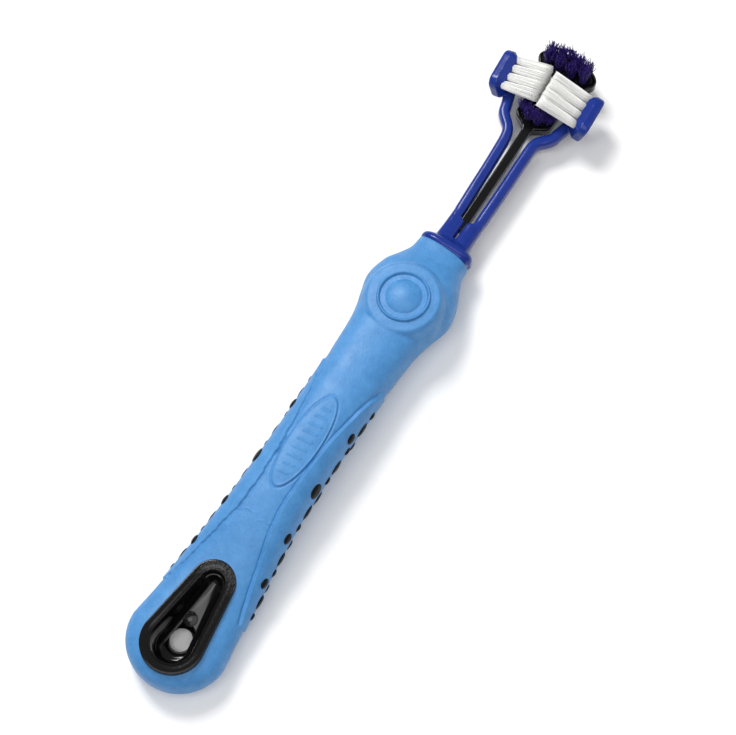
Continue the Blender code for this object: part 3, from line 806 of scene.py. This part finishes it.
def make_dish():
    """The black dish as one closed skin, from the hole's underside round to its upper edge."""
    along, across = HANG_HOLE_HALF
    rings = [
        hole_ring(along + 0.3, across + 0.3, DISH_BASE - 0.5, HANG_HOLE_SHIFT),
        hole_ring(HANG_FLARE_R, HANG_FLARE_R, HANG_BOSS_BASE),
        hole_ring(HANG_BOSS_R - 0.3, HANG_BOSS_R - 0.3, HANG_BOSS_BASE),
        hole_ring(HANG_BOSS_R, HANG_BOSS_R, HANG_BOSS_BASE + 0.3),
        hole_ring(HANG_BOSS_R, HANG_BOSS_R, DISH_BASE),
    ]
    skirt = [(0.0, DISH_BASE - DISH_TOP), (0.0, -0.25), (0.03, -0.1), (0.12, -0.02), (0.28, 0.01)]
    rim = [(0.9, 0.02), (1.6, -0.04), (2.2, -0.14), (2.34, -0.14)]
    bead = [(2.38, 0.04), (2.46, 0.18), (2.58, 0.26), (2.7, 0.22), (2.8, 0.02)]
    wall = [(2.88, -0.35), (3.05, -1.0), (3.3, -2.0)]
    for inset, above in skirt + rim + bead + wall:
        rings.append([(p.x, p.y, DISH_TOP + above) for p in egg(inset)])
    fillet = [(3.6, 2.3), (3.85, 1.6), (4.15, 1.05), (4.5, 0.62), (4.85, 0.3), (5.25, 0.1)]
    for inset, above in fillet + [(DISH_FLOOR_INSET, 0.0)]:
        rings.append([(p.x, p.y, dish_floor(p.x) + above) for p in egg(inset)])
    floor_edge = egg(DISH_FLOOR_INSET)
    funnel = hole_ring(4.9, 4.6, 0.0)
    for share in (0.33, 0.66, 1.0):
        ring = []
        for start, end in zip(floor_edge, funnel):
            x = start.x + (end[0] - start.x) * share
            y = start.y + (end[1] - start.y) * share
            ring.append((x, y, dish_floor(x)))
        rings.append(ring)
    floor = DISH_FLOOR[1]
    rings.append(hole_ring(4.7, 4.35, floor - 0.15, HANG_HOLE_SHIFT))
    rings.append(hole_ring(4.1, 3.8, floor - 0.9, HANG_HOLE_SHIFT))
    rings.append(hole_ring(along + 0.15, across + 0.15, DISH_BASE + 0.35, HANG_HOLE_SHIFT))
    rings.append(hole_ring(along, across, DISH_BASE + 0.05, HANG_HOLE_SHIFT))
    dish = loft("hang_dish", rings, BLACK, caps=False, close_rows=True)
    dish = join("hang_dish", [dish, pin_mark()])
    dish.data.set_sharp_from_angle(angle=radians(48.0))
    finish_piece(dish, "handle", "black_plastic", "handle_core")


def pin_mark():
    """The round mark of an ejector pin on the sloping floor: a low disc in a fine groove."""
    x, y = PIN_MARK
    slope = (dish_floor(x + 1) - dish_floor(x - 1)) / 2
    profile = [(0.02, 0.12), (1.5, 0.14), (1.68, 0.05), (1.78, 0.03), (1.88, 0.16), (2.0, 0.14)]
    rings = []
    for r, height in profile + [(2.15, -0.2)]:
        ring = []
        for angle in ring_angles(48):
            px, py = r * cos(angle), r * sin(angle)
            ring.append((x + px, y + py, dish_floor(x) + slope * px + height))
        rings.append(ring)
    return loft("pin_mark", rings, BLACK)


def stud(x, side, length, width, angle):
    """A domed oval stud standing on the side of the grip."""
    half_width, low, high = (float(v[0]) for v in grip_size(np.array([x])))
    turn = radians(angle)
    power = 2 / GRIP_SQUARENESS
    y = half_width * cos(turn) ** power
    z = (low + high) / 2 + copysign((high - low) / 2 * abs(sin(turn)) ** power, angle)
    outward = Vector((0.0, side * cos(turn), sin(turn)))
    lengthwise = Vector((1.0, 0.0, 0.0))
    crosswise = outward.cross(lengthwise)
    origin = Vector((x, side * y, z))
    profile = [(1.0, -STUD_ROOT), (1.0, 0.25 * STUD_PROUD)]
    profile += [
        (cos(t), STUD_PROUD * (0.25 + 0.75 * sin(t) ** 0.9))
        for t in np.radians(np.linspace(8, 86, 9))
    ]
    rings = []
    for r, height in profile:
        ring = []
        for a in ring_angles(28):
            spot = origin + lengthwise * (r * cos(a) * length / 2)
            spot += crosswise * (r * sin(a) * width / 2) + outward * height
            ring.append(spot)
        rings.append(ring)
    return loft("stud", rings, STUD_RUBBER)


def make_studs():
    rows = [(row, 0.0) for row in MID_STUDS]
    rows += [(row, sign * OUTER_STUD_ANGLE) for row in OUTER_STUDS for sign in (1, -1)]
    for name, side in (("left_studs", 1), ("right_studs", -1)):
        studs = [stud(x, side, length, width, angle) for (x, length, width), angle in rows]
        finish_piece(join(name, studs), "handle", "black_plastic", "handle_core")


# Fork -----------------------------------------------------------------------------------------


def box_section(x, inner, outer, low, high, squareness, count):
    across, up = superellipse(ring_angles(count), squareness)
    y = (inner + outer) / 2 + (outer - inner) / 2 * across
    z = (low + high) / 2 + (high - low) / 2 * up
    return np.stack([np.full(count, x), y, z], axis=1)


def make_collar():
    xs = np.linspace(COLLAR_STATIONS[0][0], COLLAR_STATIONS[-1][0], 60)
    rings = []
    for x, (half, low, high) in zip(xs, curve_through(COLLAR_STATIONS, xs)):
        rings.append(box_section(x, -half, half, low, high, COLLAR_SQUARENESS, 96))
    collar = loft("fork_collar_flare", rings, FORK_BLUE)
    bend_sideways(collar)
    collar.data.set_sharp_from_angle(angle=radians(50.0))
    finish_piece(collar, "handle", "fork_blue", "fork_collar")


def arm_rings(side):
    """Sections of one half of the web and the arm that leaves it, in the arm's own axes."""
    rings = []
    xs = np.linspace(WEB_STATIONS[0][0], WEB_STATIONS[-1][0], 50)
    for x, (inner, outer, low, high) in zip(xs, curve_through(WEB_STATIONS, xs)):
        share = float(smoothstep(46.0, 49.0, x))
        squareness = WEB_SQUARENESS + (ARM_SQUARENESS - WEB_SQUARENESS) * share
        rings.append(box_section(x, inner, outer, low, high, squareness, ARM_SIDES))
    path_xs = np.linspace(ARM_PATH[0][0], ARM_PATH[-1][0], 110)
    ys = curve_through(ARM_PATH, path_xs)[:, 0]
    half_width, half_height = ARM_HALF
    across, up = superellipse(ring_angles(ARM_SIDES), ARM_SQUARENESS)
    slopes = np.gradient(ys, path_xs)
    for x, y, slope in zip(path_xs, ys, slopes):
        turn = atan2(slope, 1.0)
        ring = np.stack(
            [
                x - sin(turn) * half_width * across,
                y + cos(turn) * half_width * across,
                ARM_ROOT[2] + half_height * up,
            ],
            axis=1,
        )
        rings.append(ring)
    rings = np.array(rings)
    rings[:, :, 1] *= side
    return rings


def head_frame(side):
    """The bristle face of a side head: X along the head, Y up the face, Z out of it."""
    lean = radians(HEAD_LEAN)
    up = Vector((0.0, side * sin(lean), cos(lean)))
    out = Vector((0.0, -side * cos(lean), sin(lean)))
    matrix = Matrix((up.cross(out), up, out)).transposed().to_4x4()
    x, y, z = HEAD_CENTRE
    yaw = Matrix.Rotation(side * radians(HEAD_YAW[side]), 4, "Z")
    return Matrix.Translation((x, side * y, z)) @ yaw @ matrix


def head_block(side):
    """A plate with round corners and soft edges behind the bristle face."""
    length, height, thickness = HEAD_SIZE
    matrix = head_frame(side)
    rings = []
    turns = np.radians(np.linspace(0, 90, 7))
    face = [
        (HEAD_BEVEL + 0.4, 0.0),
        (HEAD_BEVEL, -0.05),
        (0.3, -HEAD_BEVEL),
        (0.0, -HEAD_BEVEL - 0.3),
    ]
    back = [
        (HEAD_SOFT * (1 - cos(t)), HEAD_SOFT * (1 - sin(t)) - thickness)
        for t in turns
    ]
    for inset, depth in face + back:
        corner = HEAD_CORNER - inset
        half_x, half_y = length / 2 - inset, height / 2 - inset
        ring = []
        for start, sx, sy in ((0, 1, 1), (90, -1, 1), (180, -1, -1), (270, 1, -1)):
            for angle in np.radians(np.linspace(start, start + 90, 12)):
                x = sx * (half_x - corner) + corner * cos(angle)
                y = sy * (half_y - corner) + corner * sin(angle)
                ring.append(matrix @ Vector((x, y, depth)))
        rings.append(ring)
    return rings


def splay_matrix(name, side):
    """Turns an arm about its flex axis by its moulded outward angle."""
    x, y, z = (value * MM for value in ARM_ROOT)
    root = Vector((x, side * y, z))
    turn = Matrix.Rotation(side * radians(ARM_SPLAY[name]), 4, "Z")
    return Matrix.Translation(root) @ turn @ Matrix.Translation(-root)


def blended_turn(obj, name, side):
    """Splays the arm past its flex axis and leaves the web where it is."""
    turned = splay_matrix(name, side)
    start, end = ARM_BEND_X
    for vertex in obj.data.vertices:
        share = float(smoothstep(start * MM, end * MM, vertex.co.x))
        vertex.co = vertex.co.lerp(turned @ vertex.co, share)


def make_arm(name, side):
    shell = loft(f"{name}_arm_shell", arm_rings(side), FORK_BLUE)
    block = loft(f"{name}_head_shell", head_block(side), FORK_BLUE)
    arm = join(f"{name}_fork_arm", [shell, block])
    fuse(arm, ARM_VOXEL)
    bend_sideways(arm)
    blended_turn(arm, name, side)
    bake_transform(arm)
    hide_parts(f"{name}_arm")
    turned = splay_matrix(name, side)
    face = head_frame(side)
    for row, count, height in (("top", 4, TOP_ROW), ("low", 3, LOW_ROW)):
        for i in range(count):
            spot = face @ Matrix.Translation(((i - (count - 1) / 2) * SIDE_PITCH, height, 0.0))
            make_side_tuft(name, f"{row}_{i + 1}", spot, turned)


# Centre prong ---------------------------------------------------------------------------------


def prong_outline():
    """The left half of the plan from root to tip, then the right half back."""
    xs = np.linspace(FLARE[0][0], FLARE[-1][0], 26)
    half = [(STEM_ROOT[0] - 1.6, STEM_HALF_WIDTH)]
    half += [(x, STEM_HALF_WIDTH) for x in (55.0, 65.0, 75.0)]
    half += list(zip(xs, curve_through(FLARE, xs)[:, 0]))
    half.append((DECK_END_X, FLARE[-1][1]))
    half_x, half_y = OVAL_HALF
    start = 0.65 * pi
    for i in range(30):
        angle = start * (1 - i / 30)
        half.append((OVAL_CENTRE_X + half_x * cos(angle), half_y * sin(angle)))
    tip = [(OVAL_CENTRE_X + half_x, 0.0)]
    return half + tip + [(x, -y) for x, y in reversed(half)]


def rim_tube(outline, z):
    """A thin bead along the plan, just inside its edge, from the flare onward."""
    points = [Vector(p) for p in outline if p[0] > PRONG_BEAD_START_X]
    rings = []
    for i, point in enumerate(points):
        before, after = points[max(i - 1, 0)], points[min(i + 1, len(points) - 1)]
        ahead = (after - before).normalized()
        inward = Vector((ahead.y, -ahead.x))
        centre = point + inward * PRONG_BEAD_INSET
        ring = []
        for angle in ring_angles(10):
            spot = centre + inward * (PRONG_BEAD_R * cos(angle))
            ring.append((spot.x, spot.y, z + PRONG_BEAD_R * sin(angle)))
        rings.append(ring)
    return loft("prong_rim", rings, BLACK)


def make_prong():
    outline = prong_outline()
    rings = [[(x, y, z) for x, y in outline] for z in PRONG_Z]
    plate = loft("prong_plate", rings, BLACK)
    rim = rim_tube(outline, PRONG_Z[1] + 0.02)
    prong = join("centre_stem_and_head", [plate, rim])
    fuse(prong, PRONG_VOXEL)
    bend_sideways(prong, STEM_BOW_SHARE)
    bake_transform(prong)
    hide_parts("centre_prong")
    for row, row_x, curve, places, height in CENTRE_ROWS:
        for i, y in enumerate(places):
            spot = Vector((row_x + curve * y * y, y, PRONG_Z[1] - CENTRE_TUFT_SINK))
            make_centre_tuft(f"{row}_{i + 1}", spot, height)


# Bristles -------------------------------------------------------------------------------------


def filament_mesh(name, paths, material):
    """Thin tubes along the paths, an array of filaments, points and coordinates, in mm."""
    count, steps, _ = paths.shape
    ahead = np.gradient(paths, axis=1)
    ahead /= np.linalg.norm(ahead, axis=2, keepdims=True)
    aside = np.cross(ahead, np.array([0.37, 0.61, -0.7]))
    aside /= np.linalg.norm(aside, axis=2, keepdims=True)
    other = np.cross(ahead, aside)
    angles = ring_angles(FILAMENT_SIDES)
    radii = np.full(steps, NYLON_R)
    radii[-1] = NYLON_R * 0.45
    ring = aside[:, :, None, :] * np.cos(angles)[None, None, :, None]
    ring = ring + other[:, :, None, :] * np.sin(angles)[None, None, :, None]
    points = paths[:, :, None, :] + ring * radii[None, :, None, None]
    faces = []
    per_filament = steps * FILAMENT_SIDES
    for k in range(count):
        first = k * per_filament
        faces += grid_faces(steps, FILAMENT_SIDES, first)
        faces.append([first + i for i in range(FILAMENT_SIDES)][::-1])
        faces.append([first + per_filament - FILAMENT_SIDES + i for i in range(FILAMENT_SIDES)])
    return make_object(name, points.reshape(-1, 3) * MM, faces, material)


def packed_disc(count):
    """Places spread evenly over a unit disc."""
    i = np.arange(count) + 0.5
    r = np.sqrt(i / count)
    angle = i * pi * (3 - sqrt(5))
    return np.stack([r * np.cos(angle), r * np.sin(angle)], axis=1)


def make_side_tuft(head, label, spot, turned):
    """A full white tuft, nearly straight and a little wider at its trimmed tip."""
    length = SIDE_TUFT_LENGTH[head][label[:3]]
    root_r, tip_r = SIDE_TUFT_R
    disc = packed_disc(SIDE_FILAMENTS)
    t = np.linspace(0.0, 1.0, 6)
    wander = rng.normal(0.0, 0.1, (SIDE_FILAMENTS, 2))
    reach = length + rng.normal(0.0, 0.12, SIDE_FILAMENTS)
    radius = root_r + (tip_r - root_r) * t**0.8
    flat = disc[:, None, :] * radius[None, :, None] + wander[:, None, :] * (t**2)[None, :, None]
    height = (reach[:, None] + SIDE_TUFT_SINK) * t[None, :] - SIDE_TUFT_SINK
    local = np.concatenate([flat, height[:, :, None]], axis=2)
    matrix = np.array(spot)
    paths = local @ matrix[:3, :3].T + matrix[:3, 3]
    tuft = filament_mesh(f"{head}_bristles_{label}", paths, WHITE_NYLON)
    tuft.data.transform(turned)
    finish_piece(tuft, f"{head}_arm", "white_nylon", f"{head}_tuft_{label}")


def make_centre_tuft(label, spot, length):
    """A ragged violet tuft whose crimped filaments lean apart towards their tips."""
    root_r, tip_r = CENTRE_TUFT_R
    disc = packed_disc(CENTRE_FILAMENTS)
    t = np.linspace(0.0, 1.0, 9)
    lean = rng.normal(0.0, 0.5, (CENTRE_FILAMENTS, 2))
    reach = length * (1 + rng.normal(0.0, 0.07, CENTRE_FILAMENTS))
    phase = rng.uniform(0.0, 2 * pi, (CENTRE_FILAMENTS, 2))
    radius = root_r + (tip_r - root_r) * t
    crimp = 0.13 * np.sin(phase[:, None, :] + (t * 11.0)[None, :, None]) * t[None, :, None]
    flat = disc[:, None, :] * radius[None, :, None]
    flat = flat + lean[:, None, :] * (t**2)[None, :, None] + crimp
    height = reach[:, None] * t[None, :]
    local = np.concatenate([flat, height[:, :, None]], axis=2)
    paths = local + np.array(spot)
    tuft = filament_mesh(f"centre_bristles_{label}", paths, VIOLET_NYLON)
    finish_piece(tuft, "centre_prong", "violet_nylon", f"centre_tuft_{label}")


# Stage ----------------------------------------------------------------------------------------


def make_floor():
    half = FLOOR_SIZE / 2
    points = [(x, y, 0.0) for y in (-half, half) for x in (-half, half)]
    material, tree, shader = new_material(
        "floor_white", (0.93, 0.93, 0.93), 0.9, Specular_IOR_Level=0.0
    )
    shades = [(0.3, (0.92, 0.92, 0.92)), (0.7, (0.94, 0.94, 0.94))]
    paper = ramp(tree, noise(tree, 40.0, 2.0), shades)
    tree.links.new(paper, shader.inputs["Base Color"])
    floor = make_object("floor", points, [[0, 1, 3, 2]], material)


def add_light(name, place, size, energy):
    """A square softbox that faces the frame's origin."""
    light = bpy.data.lights.new(name, "AREA")
    light.shape = "RECTANGLE"
    light.size, light.size_y = size, size
    light.energy = energy
    obj = bpy.data.objects.new(name, light)
    bpy.context.scene.collection.objects.link(obj)
    obj.location = place
    obj.rotation_mode = "QUATERNION"
    obj.rotation_quaternion = (-Vector(place)).to_track_quat("-Z", "Y")


def make_light():
    world = bpy.data.worlds.new("studio")
    world.use_nodes = True
    background = world.node_tree.nodes["Background"]
    background.inputs["Color"].default_value = (1.0, 1.0, 1.0, 1.0)
    background.inputs["Strength"].default_value = WORLD_STRENGTH
    bpy.context.scene.world = world
    for name, place, size, energy in SOFTBOXES:
        add_light(name, place, size, energy)
    bpy.context.scene.view_settings.view_transform = "Standard"


def make_camera():
    azimuth, elevation = radians(VIEW_AZIMUTH), radians(VIEW_ELEVATION)
    forward = Vector(
        (cos(elevation) * cos(azimuth), cos(elevation) * sin(azimuth), -sin(elevation))
    )
    right = Vector((sin(azimuth), -cos(azimuth), 0.0))
    up = right.cross(forward)
    camera = bpy.data.cameras.new("camera")
    camera.lens = LENS
    camera.sensor_width = SENSOR
    camera.sensor_fit = "HORIZONTAL"
    camera.clip_start = 0.01
    camera.clip_end = 20.0
    obj = bpy.data.objects.new("camera", camera)
    bpy.context.scene.collection.objects.link(obj)
    place = (Vector(VIEW_TARGET) - forward * VIEW_DISTANCE) * MM
    turn = Matrix((right, up, -forward)).transposed().to_4x4()
    obj.matrix_world = Matrix.Translation(place) @ turn
    bpy.context.scene.camera = obj


def finish_cad_nodes():
    """The metal anchors are the only CAD pieces that stay, inside the heads."""
    for name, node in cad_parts.items():
        if "anchor" in name:
            node.data.materials.clear()
            node.data.materials.append(BRASS)


make_grip()
make_dish()
make_studs()
make_collar()
make_arm("left", 1)
make_arm("right", -1)
make_prong()
finish_cad_nodes()
make_floor()
make_light()
make_camera()
